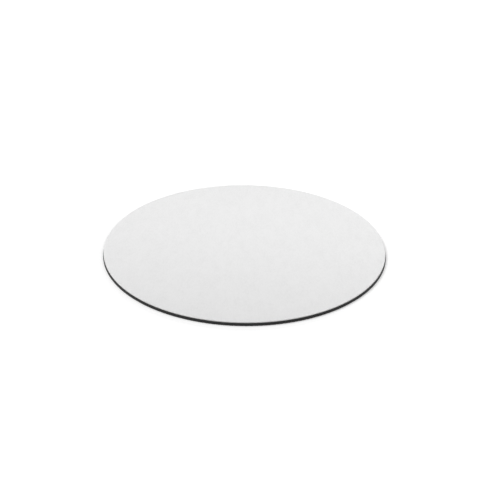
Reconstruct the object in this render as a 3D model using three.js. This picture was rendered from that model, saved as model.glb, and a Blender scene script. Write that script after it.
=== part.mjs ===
// A round mouse pad for a desk.
// A white knit cloth is glued by a thin film to a black sponge rubber base. One round die cuts
// all three layers together, so they share one edge, and the soft base spreads a little at its foot.
// Millimetres, +Z up. The origin is on the desk, under the middle of the pad.

import * as THREE from 'three';

// Driving dimensions
const padDiameter = 220; // over the foot of the base, the widest place
const baseThickness = 2.2;
const filmThickness = 0.1;
const clothThickness = 0.5;

// The die's cut, one wall through all three layers
const footFlare = 0.55; // how far the foot stands out past the top of the wall
const wallHollow = 0.12; // how far the middle of the wall draws in from a straight slope
const footRounding = 0.15; // radius of the base's lower corner
const clothRounding = 0.25; // radius of the cloth's upper corner, which the die presses down
const roundingMostShare = 0.9; // of the layer that carries the rounding

// How finely the round surfaces are faceted
const facetLength = 3.8; // longest straight stretch round the edge
const stepsUpWall = 6;
const stepsRoundCorner = 4;

// Whole facets in each quarter turn, so the pad is as wide along X as along Y
const quarterLength = (Math.PI * padDiameter) / 4;
const stepsAround = 4 * Math.ceil(quarterLength / facetLength);

// Heights of the layers above the desk
const filmUnderside = baseThickness;
const clothUnderside = filmUnderside + filmThickness;
const padTop = clothUnderside + clothThickness;

// Corners as made, never taller than their layer
const footCorner = Math.min(footRounding, baseThickness * roundingMostShare);
const clothCorner = Math.min(clothRounding, clothThickness * roundingMostShare);

// Radius of the die's cut at a height above the desk
function cutRadius(height) {
  const share = (height - footCorner) / (padTop - footCorner);
  const slope = footFlare * share;
  const hollow = wallHollow * 4 * share * (1 - share);
  return padDiameter / 2 - slope - hollow;
}

// Points up the cut wall, from one height above the desk to another
function wallPoints(fromHeight, toHeight, steps) {
  const points = [];
  for (let step = 0; step <= steps; step += 1) {
    const height = THREE.MathUtils.lerp(fromHeight, toHeight, step / steps);
    points.push(new THREE.Vector2(cutRadius(height), height));
  }
  return points;
}

// Points round a quarter circle whose outermost point lies on the cut wall
function cornerPoints(rounding, centreHeight, fromAngle, toAngle) {
  const centreRadius = cutRadius(centreHeight) - rounding;
  const points = [];
  for (let step = 0; step <= stepsRoundCorner; step += 1) {
    const angle = THREE.MathUtils.lerp(fromAngle, toAngle, step / stepsRoundCorner);
    const radius = centreRadius + rounding * Math.cos(angle);
    const height = centreHeight + rounding * Math.sin(angle);
    points.push(new THREE.Vector2(radius, height));
  }
  return points;
}

// A layer turned about the pad's axis, placed by the height of its underside
function turnedLayer(name, edgePoints, underside, topside, material) {
  const outline = [
    new THREE.Vector2(0, underside),
    ...edgePoints,
    new THREE.Vector2(0, topside),
  ];
  const ownOutline = outline.map((point) => new THREE.Vector2(point.x, point.y - underside));
  const geometry = new THREE.LatheGeometry(ownOutline, stepsAround);
  geometry.rotateX(Math.PI / 2);
  const layer = new THREE.Mesh(geometry, material);
  layer.name = name;
  layer.position.z = underside;
  return layer;
}

// Sponge rubber base, flat underneath, with a rounded foot and the hollow wall that the die leaves
function makeRubberBase() {
  const material = new THREE.MeshStandardMaterial({
    color: '#1d1d1d',
    roughness: 0.92,
    metalness: 0,
  });
  const edgePoints = [
    ...cornerPoints(footCorner, footCorner, -Math.PI / 2, 0),
    ...wallPoints(footCorner, filmUnderside, stepsUpWall).slice(1),
  ];
  return turnedLayer('rubber_base', edgePoints, 0, filmUnderside, material);
}

// Hot-melt film that bonds the cloth to the base, cut flush with both
function makeAdhesiveFilm() {
  const material = new THREE.MeshStandardMaterial({
    color: '#d9d6cf',
    roughness: 0.5,
    metalness: 0,
  });
  const edgePoints = wallPoints(filmUnderside, clothUnderside, 1);
  return turnedLayer('adhesive_film', edgePoints, filmUnderside, clothUnderside, material);
}

// Knit cloth face, flat on top, with its upper corner rounded down by the die
function makeClothFace() {
  const material = new THREE.MeshStandardMaterial({
    color: '#ececec',
    roughness: 0.95,
    metalness: 0,
  });
  const cornerStart = padTop - clothCorner;
  const edgePoints = [
    ...wallPoints(clothUnderside, cornerStart, 1),
    ...cornerPoints(clothCorner, cornerStart, 0, Math.PI / 2).slice(1),
  ];
  return turnedLayer('cloth_face', edgePoints, clothUnderside, padTop, material);
}

const mousePad = new THREE.Group();
mousePad.name = 'mouse_pad';
mousePad.add(makeRubberBase());
mousePad.add(makeAdhesiveFilm());
mousePad.add(makeClothFace());

export default mousePad;
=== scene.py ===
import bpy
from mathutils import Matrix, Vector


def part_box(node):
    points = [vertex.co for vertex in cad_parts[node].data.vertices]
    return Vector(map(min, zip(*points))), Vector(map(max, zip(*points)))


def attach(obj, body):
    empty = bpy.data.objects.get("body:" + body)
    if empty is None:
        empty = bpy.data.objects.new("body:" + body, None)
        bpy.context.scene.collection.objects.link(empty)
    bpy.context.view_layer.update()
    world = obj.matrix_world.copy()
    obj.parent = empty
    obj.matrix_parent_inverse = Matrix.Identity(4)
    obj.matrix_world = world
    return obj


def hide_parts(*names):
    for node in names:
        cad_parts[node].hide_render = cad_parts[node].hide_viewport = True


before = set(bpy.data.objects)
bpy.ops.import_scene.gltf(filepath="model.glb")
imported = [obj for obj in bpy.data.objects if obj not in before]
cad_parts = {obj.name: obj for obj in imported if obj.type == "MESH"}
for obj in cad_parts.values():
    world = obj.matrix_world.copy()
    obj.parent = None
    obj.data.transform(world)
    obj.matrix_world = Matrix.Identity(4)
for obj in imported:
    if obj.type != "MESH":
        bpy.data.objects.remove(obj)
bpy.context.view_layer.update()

# A round mouse pad: white knit cloth, glued by a film to a black sponge rubber base.
# Metres, +Z up. The origin is on the desk, under the middle of the pad.

import math

import bpy
from mathutils import Matrix, Vector

mm = 0.001
baseLow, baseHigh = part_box("rubber_base")
filmLow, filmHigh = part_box("adhesive_film")
clothLow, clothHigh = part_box("cloth_face")

# The round die's cut, one wall through all three layers, as in the part's source
dieCut = {
    "Foot Radius": (baseHigh.x - baseLow.x) / 2,
    "Pad Top": clothHigh.z,
    "Foot Flare": 0.55 * mm,  # how far the foot stands out past the top of the wall
    "Wall Hollow": 0.12 * mm,  # how far the middle of the wall draws in from a straight slope
    "Foot Corner": 0.15 * mm,  # height at which the rounded foot meets the wall
    "Cut Wander": 0.03 * mm,  # how far the cut drifts inwards, alike in all three layers
    "Wander Length": 9 * mm,
    "Wander Seed": 1.0,
    "Uneven Band": 0.7 * mm,  # inside the top of the wall, as far as the cut is uneven
}


# Camera, floor and lamps

view = {
    "lens": 85,
    "distance": 0.9232,
    "elevation": 29.150,  # degrees above the desk, at the front of the pad
    "turnRight": 0.262,  # degrees, from looking straight at the origin
    "turnUp": -0.012,
    "roll": 0.516,  # lowers the pad's right end in the picture
    "nearest": 0.01,
    "farthest": 20,
}


def makeCamera():
    height = math.radians(view["elevation"])
    back = Vector((0, -math.cos(height), math.sin(height)))  # from the pad to the camera
    right = Vector((1, 0, 0))
    up = back.cross(right)
    yaw = math.radians(view["turnRight"])
    pitch = math.radians(view["turnUp"])
    forward = -back * math.cos(yaw) + right * math.sin(yaw)
    forward = (forward * math.cos(pitch) + up * math.sin(pitch)).normalized()
    right = forward.cross(up).normalized()
    up = right.cross(forward)
    roll = math.radians(view["roll"])
    rolledRight = right * math.cos(roll) + up * math.sin(roll)
    rolledUp = up * math.cos(roll) - right * math.sin(roll)
    lens = bpy.data.cameras.new("photoCamera")
    lens.lens = view["lens"]
    lens.clip_start = view["nearest"]
    lens.clip_end = view["farthest"]
    camera = bpy.data.objects.new("photoCamera", lens)
    bpy.context.collection.objects.link(camera)
    turn = Matrix((rolledRight, rolledUp, -forward)).transposed().to_4x4()
    camera.matrix_world = Matrix.Translation(back * view["distance"]) @ turn
    bpy.context.scene.camera = camera


makeCamera()
bpy.context.scene.view_settings.view_transform = "Standard"
print("camera made")


# A socket that Python arithmetic works on: each operator adds a Math node to the socket's tree
class Wire:
    def __init__(self, net, socket):
        self.net = net
        self.socket = socket

    def out(self, name):
        return Wire(self.net, self.socket.node.outputs[name])

    def __add__(self, other):
        return self.net.maths("ADD", self, other)

    def __radd__(self, other):
        return self.net.maths("ADD", other, self)

    def __sub__(self, other):
        return self.net.maths("SUBTRACT", self, other)

    def __rsub__(self, other):
        return self.net.maths("SUBTRACT", other, self)

    def __mul__(self, other):
        return self.net.maths("MULTIPLY", self, other)

    def __rmul__(self, other):
        return self.net.maths("MULTIPLY", other, self)

    def __truediv__(self, other):
        return self.net.maths("DIVIDE", self, other)

    def __rtruediv__(self, other):
        return self.net.maths("DIVIDE", other, self)

    def __pow__(self, other):
        return self.net.maths("POWER", self, other)

    def __rpow__(self, other):
        return self.net.maths("POWER", other, self)

    def __gt__(self, other):
        return self.net.maths("GREATER_THAN", self, other)

    def __lt__(self, other):
        return self.net.maths("LESS_THAN", self, other)

    def __neg__(self):
        return self.net.maths("MULTIPLY", self, -1)

    def __abs__(self):
        return self.net.maths("ABSOLUTE", self)

    def larger(self, other):
        return self.net.maths("MAXIMUM", self, other)

    # From first to second as this socket goes from 0 to 1
    def between(self, first, second):
        return first + self * (second - first)

    def sin(self):
        return self.net.maths("SINE", self)

    def cos(self):
        return self.net.maths("COSINE", self)

    def fract(self):
        return self.net.maths("FRACT", self)

    def root(self):
        return self.net.maths("SQRT", self.larger(0))


# A node tree, with one method that adds any node: its settings go in before its sockets
class Net:
    def __init__(self, tree):
        self.tree = tree

    def node(self, kind, settings=None, sockets=(), output=0):
        made = self.tree.nodes.new(kind)
        for name, value in (settings or {}).items():
            setattr(made, name, value)
        pairs = sockets.items() if isinstance(sockets, dict) else enumerate(sockets)
        for name, value in pairs:
            self.fill(made.inputs[name], value)
        return Wire(self, made.outputs[output]) if made.outputs else None

    def fill(self, socket, value):
        if isinstance(value, Wire):
            self.tree.links.new(value.socket, socket)
        elif isinstance(value, list):
            for one in value:
                self.fill(socket, one)
        else:
            socket.default_value = value

    def maths(self, operation, *values):
        return self.node("ShaderNodeMath", {"operation": operation}, values)

    def vector(self, x=0.0, y=0.0, z=0.0):
        return self.node("ShaderNodeCombineXYZ", {}, (x, y, z))

    def parts(self, vector):
        split = self.node("ShaderNodeSeparateXYZ", {}, [vector])
        return split.out("X"), split.out("Y"), split.out("Z")

    # Smooth noise between 0 and 1, whose lumps are about as long as size
    def patches(self, spot, size, seed, detail=0.0):
        settings = {"noise_dimensions": "4D"}
        sockets = {"Vector": spot, "W": seed, "Scale": 1 / size, "Detail": detail}
        return self.node("ShaderNodeTexNoise", settings, sockets)

    # The same noise between -1 and 1
    def noise(self, spot, size, seed, detail=0.0):
        return self.patches(spot, size, seed, detail) * 2 - 1

    # Between 0 and 1 as value goes from low to high
    def ramp(self, value, low, high):
        sockets = {"Value": value, "From Min": low, "From Max": high}
        return self.node("ShaderNodeMapRange", {}, sockets)

    def blend(self, share, first, second):
        sockets = {0: share, 6: first, 7: second}
        return self.node("ShaderNodeMix", {"data_type": "RGBA"}, sockets, output=2)


def grey(level):
    return (level, level, level, 1)


# How far a place is from the pad's axis
def fromAxis(x, y):
    return (x * x + y * y) ** 0.5


# A new material's net, empty but for its output
def newMaterial(name):
    material = bpy.data.materials.new(name)
    material.use_nodes = True
    net = Net(material.node_tree)
    net.tree.nodes.clear()
    return material, net


# One shader for the whole surface, with a relief from the height and its depth in metres
def finishMaterial(net, surface, height, depth):
    bump = net.node("ShaderNodeBump", {}, {"Strength": 1, "Distance": depth, "Height": height})
    shader = net.node("ShaderNodeBsdfPrincipled", {}, {**surface, "Normal": bump})
    net.node("ShaderNodeOutputMaterial", {}, {"Surface": shader})


studio = {
    "floorReach": 3.0,  # half the floor's width
    "floorDrop": 0.01 * mm,  # keeps the floor off the rubber's own faces
    "floorColour": 0.80,
    "floorLift": 0.25,  # whitens the floor to the camera and leaves the pad's shadow on it
    "shadowReach": (0.115, 0.140),  # from the pad's middle, where the floor turns all white
    "skyLight": 0.24,
}

# A far lamp is a sun from that side, spread in degrees. A near one hangs there and faces down.
lamps = {
    "windowLeft": {"far": True, "place": (-0.55, 0.20, 0.80), "spread": 30, "power": 1.16},
    "overhead": {"far": False, "place": (0.26, 0.075, 0.37), "width": (1.4, 0.25), "power": 1.85},
}


# 1 where the floor or the sky is seen: straight from the camera, in a gloss or through glass
def isSeen(net):
    path = net.node("ShaderNodeLightPath")
    seen = path.out("Is Camera Ray").larger(path.out("Is Glossy Ray"))
    return seen.larger(path.out("Is Transmission Ray"))


# White to the camera, and a plain pale surface to every other ray
def makeFloor():
    material, net = newMaterial("studioFloor")
    plain = net.node("ShaderNodeBsdfDiffuse", {}, {"Color": grey(studio["floorColour"])})
    x, y, z = net.parts(net.node("ShaderNodeTexCoord").out("Object"))
    strength = net.ramp(fromAxis(x, y), *studio["shadowReach"]).between(studio["floorLift"], 1)
    lift = net.node("ShaderNodeEmission", {}, {"Strength": isSeen(net) * strength})
    both = net.node("ShaderNodeAddShader", {}, (plain, lift))
    net.node("ShaderNodeOutputMaterial", {}, {"Surface": both})
    reach = studio["floorReach"]
    sides = ((-1, -1), (1, -1), (1, 1), (-1, 1))
    corners = [(x * reach, y * reach, -studio["floorDrop"]) for x, y in sides]
    mesh = bpy.data.meshes.new("studioFloor")
    mesh.from_pydata(corners, [], [(0, 1, 2, 3)])
    mesh.materials.append(material)
    floor = bpy.data.objects.new("studioFloor", mesh)
    bpy.context.collection.objects.link(floor)


def makeSky():
    world = bpy.data.worlds.new("studioSky")
    bpy.context.scene.world = world
    world.use_nodes = True
    net = Net(world.node_tree)
    net.tree.nodes.clear()
    strength = isSeen(net).between(studio["skyLight"], 1)
    sky = net.node("ShaderNodeBackground", {}, {"Color": grey(1), "Strength": strength})
    net.node("ShaderNodeOutputWorld", {}, {"Surface": sky})


def hangLamps():
    for name, facts in lamps.items():
        lamp = bpy.data.lights.new(name, "SUN" if facts["far"] else "AREA")
        lamp.energy = facts["power"]
        holder = bpy.data.objects.new(name, lamp)
        bpy.context.collection.objects.link(holder)
        holder.location = facts["place"]
        holder.visible_camera = False
        if facts["far"]:
            lamp.angle = math.radians(facts["spread"])
            holder.rotation_euler = Vector(facts["place"]).to_track_quat("Z", "Y").to_euler()
        else:
            lamp.shape = "RECTANGLE"
            lamp.size, lamp.size_y = facts["width"]


makeFloor()
makeSky()
hangLamps()
print("floor, sky and lamps made")


# Geometry trees

socketKinds = {
    float: "NodeSocketFloat",
    int: "NodeSocketInt",
    bpy.types.Material: "NodeSocketMaterial",
}
weld = 0.002 * mm  # corners nearer than this become one
creaseAngle = 40  # degrees between two faces, past which their edge is shaded sharp


# A geometry tree with a named input for each of the values
def startTree(name, values):
    tree = bpy.data.node_groups.new(name, "GeometryNodeTree")
    board = tree.interface
    board.new_socket("Geometry", in_out="INPUT", socket_type="NodeSocketGeometry")
    for label, value in values.items():
        board.new_socket(label, in_out="INPUT", socket_type=socketKinds[type(value)])
    board.new_socket("Geometry", in_out="OUTPUT", socket_type="NodeSocketGeometry")
    net = Net(tree)
    source = net.node("NodeGroupInput")
    return net, {label: source.out(label) for label in values}


# Real copies of what repeats, and the piece's material
def endTree(net, given, geometry):
    real = net.node("GeometryNodeRealizeInstances", {}, {"Geometry": geometry})
    sockets = {"Geometry": real, "Material": given["Material"]}
    dressed = net.node("GeometryNodeSetMaterial", {}, sockets)
    net.node("NodeGroupOutput", {}, {"Geometry": dressed})


# Runs a tree and keeps what it makes as a plain mesh
def makePiece(name, net, values):
    piece = bpy.data.objects.new(name, bpy.data.meshes.new(name))
    bpy.context.collection.objects.link(piece)
    builder = piece.modifiers.new("builder", "NODES")
    builder.node_group = net.tree
    for item in net.tree.interface.items_tree:
        if item.in_out == "INPUT" and item.name in values:
            builder[item.identifier] = values[item.name]
    graph = bpy.context.evaluated_depsgraph_get()
    made = bpy.data.meshes.new_from_object(piece.evaluated_get(graph))
    piece.modifiers.remove(builder)
    # The tree can leave an empty slot before its material's, so the mesh gets its one slot anew
    made.materials.clear()
    made.materials.append(values["Material"])
    made.polygons.foreach_set("material_index", [0] * len(made.polygons))
    made.name = name
    piece.data = made
    print(name, "has", sum(len(face.vertices) - 2 for face in made.polygons), "triangles")
    return piece


def place(net):
    return net.parts(net.node("GeometryNodeInputPosition"))


# A place given by its distance from the pad's axis, its angle and its height
def around(net, radius, angle, height):
    return net.vector(radius * angle.cos(), radius * angle.sin(), height)


def moved(net, mesh, position):
    return net.node("GeometryNodeSetPosition", {}, {"Geometry": mesh, "Position": position})


def shifted(net, mesh, offset, chosen=True):
    sockets = {"Geometry": mesh, "Selection": chosen, "Offset": offset}
    return net.node("GeometryNodeSetPosition", {}, sockets)


def joined(net, meshes):
    whole = net.node("GeometryNodeJoinGeometry", {}, {"Geometry": meshes})
    return net.node("GeometryNodeMergeByDistance", {}, {"Geometry": whole, "Distance": weld})


def smoothed(net, mesh):
    sockets = {"Geometry": mesh, "Shade Smooth": True}
    return net.node("GeometryNodeSetShadeSmooth", {"domain": "FACE"}, sockets)


# Smooth faces with a crease wherever two meet at a sharp angle
def creased(net, mesh):
    sharp = net.node("GeometryNodeInputMeshEdgeAngle") > math.radians(creaseAngle)
    sockets = {"Geometry": smoothed(net, mesh), "Selection": sharp, "Shade Smooth": False}
    return net.node("GeometryNodeSetShadeSmooth", {"domain": "EDGE"}, sockets)


def flatGrid(net, width, columns, rows):
    sides = {"Size X": width, "Size Y": width, "Vertices X": columns, "Vertices Y": rows}
    return net.node("GeometryNodeMeshGrid", {}, sides)


# The baked map: the visible side flat in the middle, the wall as rings round it, and a hidden side
# small in a corner. The weave repeats every three pixels of the map.
bakeMap = {
    "name": "OFBake",
    "pixels": 1024,
    "pixel": 0.23 * mm,  # of the flat side
    "pixelsPerRow": 1.6,  # of a wall's rows of faces
    "gap": 3,  # pixels between two rings
    "cornerPlace": 0.42,  # from the map's middle, as shares of its width
    "cornerSize": 0.07,
}
mapWidth = bakeMap["pixels"] * bakeMap["pixel"]


# Stores a place on the map, given from its middle
def storeMap(net, mesh, across, up):
    settings = {"data_type": "FLOAT2", "domain": "CORNER"}
    spot = net.vector(across + 0.5, up + 0.5)
    sockets = {"Geometry": mesh, "Name": bakeMap["name"], "Value": spot}
    return net.node("GeometryNodeStoreNamedAttribute", settings, sockets)


def mapFlat(net, mesh, mirror=1):
    x, y, z = place(net)
    return storeMap(net, mesh, x / mapWidth, y * (mirror / mapWidth))


def mapCorner(net, mesh, reach, mirror):
    x, y, z = place(net)
    size = bakeMap["cornerSize"] / reach
    corner = bakeMap["cornerPlace"]
    return storeMap(net, mesh, x * size + corner, y * size * mirror + corner)


# How far from the map's middle a ring lies, so many pixels outside the gap round the flat side
def ringReach(given, pixels):
    return given["Foot Radius"] / mapWidth + (pixels + bakeMap["gap"]) / bakeMap["pixels"]


# The cut layers

# Radius of the die's cut at a height above the desk
def cutRadius(given, height):
    share = (height - given["Foot Corner"]) / (given["Pad Top"] - given["Foot Corner"])
    hollow = given["Wall Hollow"] * 4 * share * (1 - share)
    return given["Foot Radius"] - given["Foot Flare"] * share - hollow


# The heights between which a layer's wall is straight
def wallEnds(given):
    return given["Underside"] + given["Lower Rounding"], given["Topside"] - given["Upper Rounding"]


# The radii of a layer's underside and topside, inside the rounded corners
def sideRadii(given):
    low, high = wallEnds(given)
    lowRadius = cutRadius(given, low) - given["Lower Rounding"]
    highRadius = cutRadius(given, high) - given["Upper Rounding"]
    return lowRadius, highRadius


# Rows of faces up a wall, of which the first is the stretch below the foot
def wallRows(steps):
    return 1 + steps["lower"] + steps["wall"] + steps["upper"]


# A layer's wall: a flat grid, bent round the pad's axis and up the die's cut, with a rounded corner
# at either end. The stretch below the foot is only for a die.
def wallMesh(net, given, steps, mirror=1):
    rows = wallRows(steps)
    grid = flatGrid(net, 1, steps["around"] + 1, rows + 1)
    x, y, z = place(net)
    angle = (x + 0.5) * math.tau
    row = (y + 0.5) * rows

    # On the map the wall's rings begin at the flat side: the topside, or mirrored, the underside
    fromInside = rows - row if mirror == 1 else row
    ring = ringReach(given, fromInside * bakeMap["pixelsPerRow"])
    grid = storeMap(net, grid, ring * angle.cos(), ring * angle.sin() * mirror)

    wallStart = 1 + steps["lower"]
    upperStart = wallStart + steps["wall"]
    below = given["Die Below"] * (1 - net.ramp(row, 0, 1))
    lowTurn = (net.ramp(row, 1, wallStart) - 1) * (math.pi / 2)
    highTurn = net.ramp(row, upperStart, rows) * (math.pi / 2)
    low, high = wallEnds(given)
    straight = net.ramp(row, wallStart, upperStart).between(low, high)
    roundedUp = given["Lower Rounding"] * lowTurn.sin() + given["Upper Rounding"] * highTurn.sin()
    roundedIn = given["Lower Rounding"] * (1 - lowTurn.cos())
    roundedIn = roundedIn + given["Upper Rounding"] * (1 - highTurn.cos())
    radius = cutRadius(given, straight) - roundedIn
    return moved(net, grid, around(net, radius, angle, straight + roundedUp - below))


# A flat side with corners at the rim only, facing up or down
def plainSide(net, corners, radius, height, facesUp, hidden=True):
    sockets = {"Vertices": corners, "Radius": radius}
    circle = net.node("GeometryNodeMeshCircle", {"fill_type": "NGON"}, sockets)
    if not facesUp:
        circle = net.node("GeometryNodeFlipFaces", {}, {"Mesh": circle})
    mirror = 1 if facesUp else -1
    circle = mapCorner(net, circle, radius, mirror) if hidden else mapFlat(net, circle, mirror)
    return shifted(net, circle, net.vector(z=height))


# A flat side of even squares: a square grid whose rings are rounded into circles, with a quarter of
# the rim's corners along each side of the square
def squaredSide(net, corners, radius, height):
    rim = corners // 4 + 1
    grid = flatGrid(net, 2, rim, rim)
    x, y, z = place(net)
    wide = abs(x) > abs(y)
    larger = wide.between(y, x)
    smaller = x + y - larger
    turn = smaller / larger * (math.pi / 4)
    along = larger * turn.cos() * radius
    across = larger * turn.sin() * radius
    spot = net.vector(wide.between(across, along), wide.between(along, across), height)
    return mapFlat(net, moved(net, grid, spot))


# Makes a cut wall uneven: a slow drift of the cut that all layers share, and the layer's own grain
def roughWall(net, mesh, given):
    spot = net.node("GeometryNodeInputPosition")
    x, y, z = net.parts(spot)
    radius = fromAxis(x, y)
    wall = radius > given["Foot Radius"] - given["Foot Flare"] - given["Uneven Band"]
    drift = net.patches(net.vector(x, y), given["Wander Length"], given["Wander Seed"]) - 1
    grain = net.noise(spot, given["Grain Length"], given["Grain Seed"], detail=1)
    outward = (given["Cut Wander"] * drift + given["Grain Depth"] * grain) * wall / radius
    return shifted(net, mesh, net.vector(x * outward, y * outward))


# Cloth face: a flat knit with the wall that the die leaves, its corner pressed round, and the ends
# of the cut yarns standing out of it

cloth = {
    "sizes": {
        "Underside": clothLow.z,
        "Topside": clothHigh.z,
        "Lower Rounding": 0.0,
        "Upper Rounding": 0.25 * mm,
        "Die Below": 0.0,
        "Grain Length": 1.6 * mm,
        "Grain Depth": 0.015 * mm,
        "Grain Seed": 11.0,
        "Wave Length": 42 * mm,
        "Wave Height": 0.05 * mm,
        "Wave Seed": 2.0,
        "Yarn Ends": 4200,
        "Lowest End": clothLow.z + 0.11 * mm,
        "Highest End": clothLow.z + 0.33 * mm,
        "End Length": 0.11 * mm,  # half sizes of one yarn end
        "End Width": 0.13 * mm,
        "End Thickness": 0.09 * mm,
        "Least Growth": 0.7,  # of an end's length and width
        "Most Growth": 1.2,
        "End Sink": 0.05 * mm,  # how deep its middle lies in the wall
        "End Stray": 0.0007,  # radians round the axis, off its even place
        "End Lean": 0.5,  # radians
        "End Seed": 4,
    },
    "steps": {"around": 736, "lower": 1, "wall": 3, "upper": 4},
    "endSteps": (6, 3),  # round one yarn end and along it
    "endPixels": 4,  # of the baked map, up each endHeight of the cut
    "endHeight": 0.3 * mm,
    "colour": 0.86,
    # The gap colour is painted shade: the knit darkens where its stitches' relief is low, and on
    # the cut edge, where the knit fades out
    "gapShadeColour": 0.77,  # between the stitches
    "yarnShare": 0.35,  # how far the gaps' colour goes towards the yarn's by itself
    "cloudiness": 0.80,  # light and dark patches, as a share of that difference
    "clouds": ((1.2 * mm, 0.6, 9), (5 * mm, 0.4, 10)),  # size, share and seed of the patches
    "cloudStretch": 2.4,  # how many times longer a patch is along the columns than across them
    "roughness": 0.93,
    "sheen": 0.12,
    "sheenRoughness": 0.5,
    "wale": 0.69 * mm,  # width of a column of stitches
    "course": 0.69 * mm,  # height of a stitch
    "slant": 1.1,  # how far the two legs of a stitch lean, as a V
    "legFill": (0.95, 0.80),  # how full a leg is of its place, across and along
    "relief": 0.040 * mm,
    "knitFade": (0.20 * mm, 0.08 * mm),  # below the top, between which the knit fades in
    "fuzzSize": 0.14 * mm,
    "fuzzDepth": 0.012 * mm,
    "cutFuzz": 3.0,  # how many times deeper the fuzz is on the cut edge
    "bend": 0.05 * mm,  # how far the rows stray
    "bendLength": 14 * mm,
}


# Pulls the top down a little in slow waves, and the wall with it, less and less further down
def waveTop(net, mesh, given):
    x, y, z = place(net)
    share = (z - given["Underside"]) / (given["Topside"] - given["Underside"])
    wave = net.patches(net.vector(x, y), given["Wave Length"], given["Wave Seed"], detail=1) - 1
    return shifted(net, mesh, net.vector(z=wave * given["Wave Height"] * share))


def randomBetween(net, seed, low, high):
    return net.node("FunctionNodeRandomValue", {}, {2: low, 3: high, "Seed": seed}, output=1)


# One small closed bead for each cut yarn, at its own height, length and tilt
def yarnEnds(net, given, steps):
    sockets = {"Vertices": given["Yarn Ends"], "Radius": 1}
    circle = net.node("GeometryNodeMeshCircle", {"fill_type": "NONE"}, sockets)
    x, y, z = place(net)
    seed = given["End Seed"]
    stray = randomBetween(net, seed, -given["End Stray"], given["End Stray"])
    angle = net.maths("ARCTAN2", y, x) + stray
    rise = randomBetween(net, seed + 1, given["Lowest End"], given["Highest End"])
    radius = cutRadius(given, rise) - given["End Sink"]
    spots = moved(net, circle, around(net, radius, angle, rise))

    segments, rings = cloth["endSteps"]
    sockets = {"Segments": segments, "Rings": rings, "Radius": 1}
    bead = net.node("GeometryNodeMeshUVSphere", {}, sockets)
    growth = randomBetween(net, seed + 2, given["Least Growth"], given["Most Growth"])
    length = given["End Length"] * growth
    size = net.vector(length, given["End Width"] * growth, given["End Thickness"])
    lean = randomBetween(net, seed + 3, -given["End Lean"], given["End Lean"])
    turn = net.vector(lean, lean, angle)
    sockets = {"Points": spots, "Instance": bead, "Scale": size, "Rotation": turn}
    beads = net.node("GeometryNodeInstanceOnPoints", {}, sockets)
    beads = net.node("GeometryNodeRealizeInstances", {}, {"Geometry": beads})

    x, y, z = place(net)
    reach = fromAxis(x, y)
    outside = wallRows(steps) * bakeMap["pixelsPerRow"] + bakeMap["gap"]
    down = (given["Highest End"] - z) * (cloth["endPixels"] / cloth["endHeight"])
    ring = ringReach(given, down + outside)
    return storeMap(net, beads, x / reach * ring, y / reach * ring)


def clothMaterial():
    material, net = newMaterial("whiteKnit")
    spot = net.node("ShaderNodeTexCoord").out("Object")
    x, y, z = net.parts(spot)
    straysX = net.noise(spot, cloth["bendLength"], seed=3) * cloth["bend"]
    straysY = net.noise(spot, cloth["bendLength"], seed=5) * cloth["bend"]
    across = abs(((x + straysX) / cloth["wale"]).fract() - 0.5)  # 0.5 between two columns
    along = (y + straysY) / cloth["course"] + across * cloth["slant"]
    fillAcross, fillAlong = cloth["legFill"]
    u = (across * 4 - 1) / fillAcross  # between -1 and 1 across one leg of a stitch
    v = (along.fract() * 2 - 1) * fillAlong  # and along it
    fadeLow, fadeHigh = cloth["knitFade"]
    onTop = net.ramp(z, clothHigh.z - fadeLow, clothHigh.z - fadeHigh)
    stitch = (1 - u * u - v * v).root() * onTop
    fuzz = net.noise(spot, cloth["fuzzSize"], seed=7, detail=2)

    stretched = net.vector(x, y / cloth["cloudStretch"], z)
    fine, broad = [
        net.noise(stretched, size, seed, detail=1) * share for size, share, seed in cloth["clouds"]
    ]
    # Painted shade in the gaps between stitches, where the relief is low, with light and dark
    # patches of tone at random
    shadeAndTone = stitch.between(cloth["yarnShare"], 1) + (fine + broad) * cloth["cloudiness"]
    deeper = onTop.between(cloth["cutFuzz"], 1)
    height = stitch + fuzz * deeper * (cloth["fuzzDepth"] / cloth["relief"])
    surface = {
        "Base Color": net.blend(shadeAndTone, grey(cloth["gapShadeColour"]), grey(cloth["colour"])),
        "Roughness": cloth["roughness"],
        "Sheen Weight": cloth["sheen"],
        "Sheen Roughness": cloth["sheenRoughness"],
    }
    finishMaterial(net, surface, height, cloth["relief"])
    return material


def makeCloth():
    values = {**dieCut, **cloth["sizes"], "Material": clothMaterial()}
    net, given = startTree("clothFace", values)
    steps = cloth["steps"]
    lowRadius, highRadius = sideRadii(given)
    wall = wallMesh(net, given, steps)
    top = squaredSide(net, steps["around"], highRadius, given["Topside"])
    under = plainSide(net, steps["around"], lowRadius, given["Underside"], facesUp=False)
    layer = waveTop(net, joined(net, [wall, top, under]), given)
    layer = creased(net, roughWall(net, layer, given))
    ends = smoothed(net, yarnEnds(net, given, steps))
    whole = net.node("GeometryNodeJoinGeometry", {}, {"Geometry": [layer, ends]})
    endTree(net, given, whole)
    return makePiece("clothFace", net, values)


clothFace = makeCloth()


# Glue film: a thin milky layer that ends a hair inside the cut

film = {
    "sizes": {
        "Underside": filmLow.z,
        "Topside": filmHigh.z,
        "Lower Rounding": 0.0,
        "Upper Rounding": 0.0,
        "Die Below": 0.0,
        "Grain Length": 2.5 * mm,
        "Grain Depth": 0.02 * mm,
        "Grain Seed": 21.0,
    },
    "drawsBack": 0.04 * mm,
    "steps": {"around": 736, "lower": 1, "wall": 1, "upper": 1},
    "colour": (0.69, 0.67, 0.62, 1),
    "thinColour": (0.55, 0.53, 0.49, 1),
    "patchSize": 2.2 * mm,
    "roughness": (0.36, 0.55),
    "ripple": 0.01 * mm,
}


def filmMaterial():
    material, net = newMaterial("milkyGlue")
    spot = net.node("ShaderNodeTexCoord").out("Object")
    patches = net.patches(spot, film["patchSize"], seed=13, detail=2)
    surface = {
        "Base Color": net.blend(patches, film["thinColour"], film["colour"]),
        "Roughness": patches.between(*film["roughness"]),
    }
    finishMaterial(net, surface, patches, film["ripple"])
    return material


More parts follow.
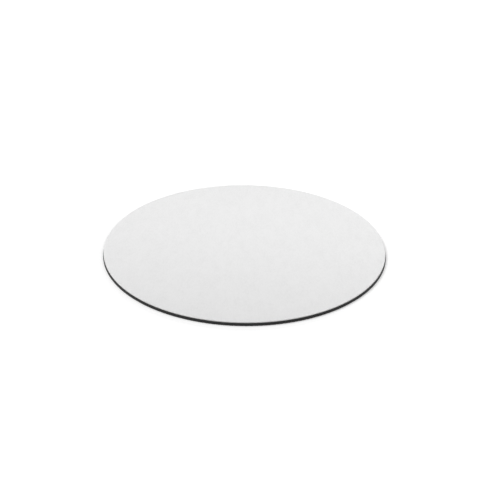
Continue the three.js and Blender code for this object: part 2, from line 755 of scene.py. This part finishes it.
def makeFilm():
    values = {**dieCut, **film["sizes"], "Material": filmMaterial()}
    values["Foot Radius"] = dieCut["Foot Radius"] - film["drawsBack"]
    net, given = startTree("glueFilm", values)
    corners = film["steps"]["around"]
    lowRadius, highRadius = sideRadii(given)
    wall = wallMesh(net, given, film["steps"])
    top = plainSide(net, corners, highRadius, given["Topside"], facesUp=True, hidden=False)
    under = plainSide(net, corners, lowRadius, given["Underside"], facesUp=False)
    layer = roughWall(net, joined(net, [wall, top, under]), given)
    endTree(net, given, creased(net, layer))
    return makePiece("glueFilm", net, values)


glueFilm = makeFilm()


# Rubber base: a sheet of sponge rubber with diamonds moulded into its underside, cut by the die

rubber = {
    "sizes": {
        "Underside": baseLow.z,
        "Topside": baseHigh.z,
        "Lower Rounding": dieCut["Foot Corner"],
        "Upper Rounding": 0.0,
        "Die Below": 0.5 * mm,
        "Grain Length": 1.0 * mm,
        "Grain Depth": 0.02 * mm,
        "Grain Seed": 31.0,
        "Sheet Rise": 4 * mm,  # past the pad's thickness, so that the die's flat end makes the top
        "Tile Pitch": 2.5 * mm,
        "Tiles Across": 90,
        "Groove Depth": 0.24 * mm,
        "Shoulder Drop": 0.05 * mm,
        "Shoulder Share": 0.77,  # of a tile's width, at the top of its groove
        "Land Share": 0.87,  # of the shoulder's width, where the tile is flat
        "Tile Turn": math.radians(45),
    },
    "steps": {"around": 1728, "lower": 3, "wall": 7, "upper": 1},
    # The colour down in a cell is painted shade: the rubber darkens where its surface lies lower,
    # in the cells and in the skin's hollows
    "colour": 0.004,  # down in a cell
    "paleColour": 0.028,  # on the walls between cells
    "patchSize": 1.1 * mm,
    "patchShare": 0.4,  # of the patches in the colour, beside the cells and the skin
    "roughness": (0.72, 0.88),
    "cutFromFoot": (1.0 * mm, 0.8 * mm),  # inwards from the foot, between which skin turns into cut
    "cutHeights": (0.06 * mm, 0.20 * mm),  # above the desk, between which it does so too
    "cells": ((0.40 * mm, 0.7), (0.17 * mm, 0.3)),  # size and share of the large and the small ones
    "cellWall": (0.15, 0.55),  # of a cell's size, from its middle, where its side rises
    "cellDepth": 0.12 * mm,
    "skinSize": 0.5 * mm,
    "skinLevel": 0.5,  # of the cells' depth
    "skinUneven": 0.15,
}


# Steps the chosen faces in and down, as a mould does
def stepIn(net, mesh, chosen, share, drop):
    sockets = {"Mesh": mesh, "Selection": chosen, "Offset Scale": 0, "Individual": False}
    stepped = net.node("GeometryNodeExtrudeMesh", {"mode": "FACES"}, sockets)
    inner = stepped.out("Top")
    sockets = {"Geometry": stepped, "Selection": inner, "Scale": share}
    smaller = net.node("GeometryNodeScaleElements", {"domain": "FACE"}, sockets)
    return shifted(net, smaller, net.vector(z=-drop), inner), inner


# The uncut sheet, with a diamond at every point of a grid
def mouldedSheet(net, given):
    pitch = given["Tile Pitch"]
    groove = given["Groove Depth"]
    shoulder = given["Shoulder Drop"]
    tile = net.node("GeometryNodeFlipFaces", {}, {"Mesh": flatGrid(net, pitch, 2, 2)})
    tile, inner = stepIn(net, tile, True, given["Shoulder Share"], groove - shoulder)
    tile, inner = stepIn(net, tile, inner, given["Land Share"], shoulder)
    across = given["Tiles Across"]
    corners = across + 1
    spots = flatGrid(net, pitch * (across - 1), across, across)
    tiles = net.node("GeometryNodeInstanceOnPoints", {}, {"Points": spots, "Instance": tile})
    tiles = net.node("GeometryNodeRealizeInstances", {}, {"Geometry": tiles})
    under = shifted(net, joined(net, tiles), net.vector(z=groove))

    rim = net.node("GeometryNodeInputMeshEdgeNeighbors") < 2
    rise = given["Sheet Rise"]
    sockets = {"Mesh": under, "Selection": rim, "Offset": net.vector(z=rise)}
    sides = net.node("GeometryNodeExtrudeMesh", {"mode": "EDGES"}, sockets)
    top = flatGrid(net, pitch * across, corners, corners)
    sheet = joined(net, [sides, shifted(net, top, net.vector(z=groove + rise))])
    turn = {"Geometry": sheet, "Rotation": net.vector(z=given["Tile Turn"])}
    return mapFlat(net, net.node("GeometryNodeTransform", {}, turn), mirror=-1)


# Open cells about as wide as size: 0 down in a cell and 1 on the walls between
def openCells(net, spot, size):
    sockets = {"Vector": spot, "Scale": 1 / size}
    fromMiddle = net.node("ShaderNodeTexVoronoi", {"feature": "F1"}, sockets)
    return net.ramp(fromMiddle, *rubber["cellWall"])


def rubberMaterial():
    material, net = newMaterial("blackSpongeRubber")
    spot = net.node("ShaderNodeTexCoord").out("Object")
    x, y, z = net.parts(spot)
    skinEnd, cutStart = [dieCut["Foot Radius"] - inwards for inwards in rubber["cutFromFoot"]]
    cut = net.ramp(fromAxis(x, y), skinEnd, cutStart) * net.ramp(z, *rubber["cutHeights"])
    large, small = [openCells(net, spot, size) * share for size, share in rubber["cells"]]
    skin = net.noise(spot, rubber["skinSize"], seed=17, detail=2) * rubber["skinUneven"]
    height = cut.between(skin + rubber["skinLevel"], large + small)
    patches = net.patches(spot, rubber["patchSize"], seed=19, detail=2)
    # Painted shade where the surface lies lower, in the cells and the skin's hollows, with patches
    # of tone at random
    shadeAndTone = patches * rubber["patchShare"] + height * (1 - rubber["patchShare"])
    surface = {
        "Base Color": net.blend(shadeAndTone, grey(rubber["colour"]), grey(rubber["paleColour"])),
        "Roughness": patches.between(*rubber["roughness"]),
    }
    finishMaterial(net, surface, height, rubber["cellDepth"])
    return material


def makeBase():
    values = {**dieCut, **rubber["sizes"], "Material": rubberMaterial()}
    net, given = startTree("rubberBase", values)
    corners = rubber["steps"]["around"]
    lowRadius, highRadius = sideRadii(given)
    wall = wallMesh(net, given, rubber["steps"], mirror=-1)
    top = plainSide(net, corners, highRadius, given["Topside"], facesUp=True)
    bottomHeight = given["Underside"] - given["Die Below"]
    bottom = plainSide(net, corners, lowRadius, bottomHeight, facesUp=False)
    die = roughWall(net, joined(net, [wall, top, bottom]), given)
    settings = {"operation": "INTERSECT", "solver": "MANIFOLD"}
    cut = net.node("GeometryNodeMeshBoolean", settings, {"Mesh 2": [mouldedSheet(net, given), die]})
    endTree(net, given, creased(net, cut))
    return makePiece("rubberBase", net, values)


rubberBase = makeBase()


# What each piece stands for

clothWidth = 2 * cutRadius(dieCut, clothLow.z)
for piece, node, finish in (
    (clothFace, "cloth_face", "cloth_white"),
    (glueFilm, "adhesive_film", "film_clear"),
    (rubberBase, "rubber_base", "rubber_black"),
):
    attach(piece, "root")
    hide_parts(node)
math.pi * clothWidth**2 / 4
